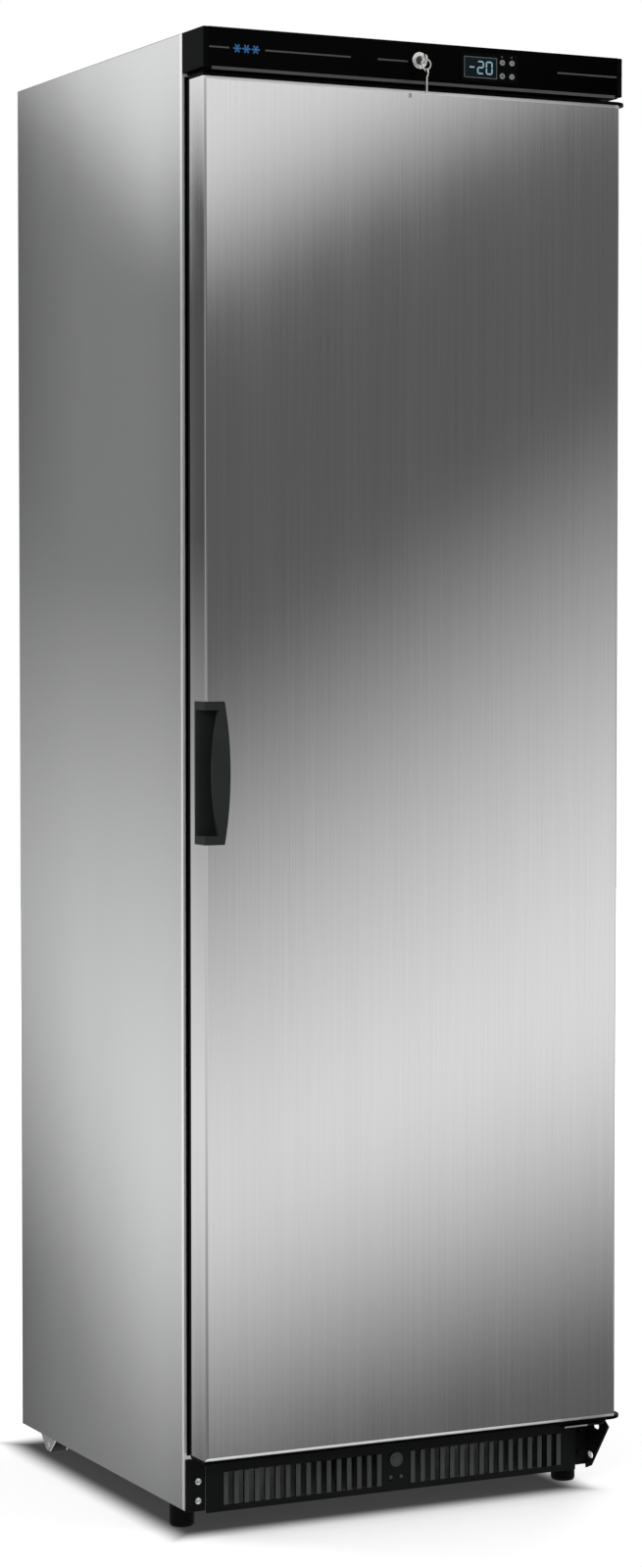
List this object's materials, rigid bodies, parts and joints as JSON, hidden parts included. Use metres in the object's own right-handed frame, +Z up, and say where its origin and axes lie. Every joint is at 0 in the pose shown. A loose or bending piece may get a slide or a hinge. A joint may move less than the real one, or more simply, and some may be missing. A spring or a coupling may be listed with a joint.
{
  "type": "upright refrigerator",
  "caption": "Tall single-door storage refrigerator with steel door, lockable top fascia, recessed edge handle, plinth grille, front feet and rear rollers.",
  "frame": {"origin": "on the floor under the middle of the whole refrigerator's box", "axes": "+Z up, -Y out of the door, +X towards the hinge side"},
  "size_m": [0.611, 0.6456, 1.88],
  "materials": {
    "side_steel": "pale grey steel sheet, soft satin",
    "door_steel": "brushed stainless steel, upright grain",
    "galvanised": "zinc coated sheet, matt spangle",
    "foam": "rigid insulation foam",
    "liner": "white moulded liner, satin",
    "black_plastic": "black moulded plastic, fine grain",
    "fascia_gloss": "deep black gloss panel",
    "bracket_black": "black powder coat",
    "zinc": "bright zinc plate",
    "nickel": "polished nickel",
    "display": "dark glossy display window",
    "button": "dark grey soft buttons",
    "wire_white": "white plastic coated wire",
    "fin_aluminium": "bare aluminium fins and tubes",
    "black_enamel": "black enamelled steel",
    "motor_grey": "grey motor casing",
    "copper": "drawn copper tube",
    "rubber": "black rubber",
    "nylon": "natural nylon",
    "roller": "black hard plastic roller",
    "fan_plastic": "dark moulded fan",
    "drain": "grey plastic pipe",
    "foot": "black moulded foot with steel stud"
  },
  "bodies": {
    "cabinet": {"left_side_panel": "side_steel", "right_side_panel": "side_steel", "top_panel": "side_steel", "rear_panel": "galvanised", "base_panel": "galvanised", "base_tray": "galvanised", "cabinet_foam": "foam", "inner_liner": "liner", "front_grille": "black_plastic", "corner_plate": "bracket_black", "lower_hinge_bracket": "bracket_black", "upper_hinge_bracket": "zinc", "cabinet_screws": "zinc", "fascia_housing": "black_plastic", "fascia_end_caps": "black_plastic", "fascia_panel": "fascia_gloss", "controller": "black_plastic", "display_window": "display", "lock_barrel": "nickel", "shelf_1": "wire_white", "shelf_2": "wire_white", "shelf_3": "wire_white", "shelf_4": "wire_white", "shelf_uprights": "wire_white", "evaporator": "fin_aluminium", "evaporator_cover": "liner", "evaporator_fan_motor": "motor_grey", "compressor": "black_enamel", "compressor_mounts": "rubber", "condenser": "black_enamel", "condenser_shroud": "galvanised", "condenser_fan_motor": "motor_grey", "refrigerant_lines": "copper", "evaporation_tray": "black_plastic", "drain_pipe": "drain", "rear_grille": "black_plastic", "cable_gland": "black_plastic", "roller_brackets": "zinc"},
    "door": {"door_skin": "door_steel", "door_foam": "foam", "door_liner": "liner", "door_top_cap": "black_plastic", "door_bottom_cap": "black_plastic", "door_gasket": "rubber", "door_handle": "black_plastic", "hinge_bushes": "nylon"},
    "left_foot": {"left_foot": "foot"},
    "right_foot": {"right_foot": "foot"},
    "left_roller": {"left_roller": "roller"},
    "right_roller": {"right_roller": "roller"},
    "lock_plug": {"lock_plug": "nickel"},
    "key": {"key": "nickel"},
    "key_ring": {"key_ring": "nickel"},
    "spare_key": {"spare_key": "nickel"},
    "button_1": {"button_1": "button"},
    "button_2": {"button_2": "button"},
    "button_3": {"button_3": "button"},
    "button_4": {"button_4": "button"},
    "evaporator_fan": {"evaporator_fan": "fan_plastic"},
    "condenser_fan": {"condenser_fan": "fan_plastic"}
  },
  "joints": [
    {"name": "door_hinge", "type": "hinge", "parent": "cabinet", "child": "door", "pos_m": [0.272, -0.27025, 0.9], "axis": [0, 0, 1], "range_deg": [0, 120]},
    {"name": "left_foot_screw", "type": "slide", "parent": "cabinet", "child": "left_foot", "axis": [0, 0, -1], "range_m": [0, 0.015]},
    {"name": "right_foot_screw", "type": "slide", "parent": "cabinet", "child": "right_foot", "axis": [0, 0, -1], "range_m": [0, 0.015]},
    {"name": "left_roller_axle", "type": "hinge", "parent": "cabinet", "child": "left_roller", "pos_m": [-0.281, 0.25575, 0.0125], "axis": [1, 0, 0], "continuous": true},
    {"name": "right_roller_axle", "type": "hinge", "parent": "cabinet", "child": "right_roller", "pos_m": [0.265, 0.25575, 0.0125], "axis": [1, 0, 0], "continuous": true},
    {"name": "lock_turn", "type": "hinge", "parent": "cabinet", "child": "lock_plug", "pos_m": [-0.008, -0.29225, 1.857], "axis": [0, 1, 0], "range_deg": [0, 90]},
    {"name": "key_pull", "type": "slide", "parent": "lock_plug", "child": "key", "axis": [0, -1, 0], "range_m": [0, 0.013]},
    {"name": "key_ring_swing", "type": "hinge", "parent": "key", "child": "key_ring", "pos_m": [-0.008, -0.31675, 1.857], "axis": [1, 0, 0], "range_deg": [-40, 10]},
    {"name": "spare_key_swing", "type": "hinge", "parent": "key_ring", "child": "spare_key", "pos_m": [-0.008, -0.31675, 1.84264], "axis": [1, 0, 0], "range_deg": [-40, 10]},
    {"name": "evaporator_fan_spin", "type": "hinge", "parent": "cabinet", "child": "evaporator_fan", "pos_m": [-0.008, 0.17775, 1.7], "axis": [0, 1, 0], "continuous": true},
    {"name": "condenser_fan_spin", "type": "hinge", "parent": "cabinet", "child": "condenser_fan", "pos_m": [-0.168, 0.20775, 0.1392], "axis": [0, 1, 0], "continuous": true},
    {"name": "button_1_press", "type": "slide", "parent": "cabinet", "child": "button_1", "axis": [0, 1, 0], "range_m": [0, 0.0008], "stiffness_N_per_m": 400},
    {"name": "button_2_press", "type": "slide", "parent": "cabinet", "child": "button_2", "axis": [0, 1, 0], "range_m": [0, 0.0008], "stiffness_N_per_m": 400},
    {"name": "button_3_press", "type": "slide", "parent": "cabinet", "child": "button_3", "axis": [0, 1, 0], "range_m": [0, 0.0008], "stiffness_N_per_m": 400},
    {"name": "button_4_press", "type": "slide", "parent": "cabinet", "child": "button_4", "axis": [0, 1, 0], "range_m": [0, 0.0008], "stiffness_N_per_m": 400}
  ]
}
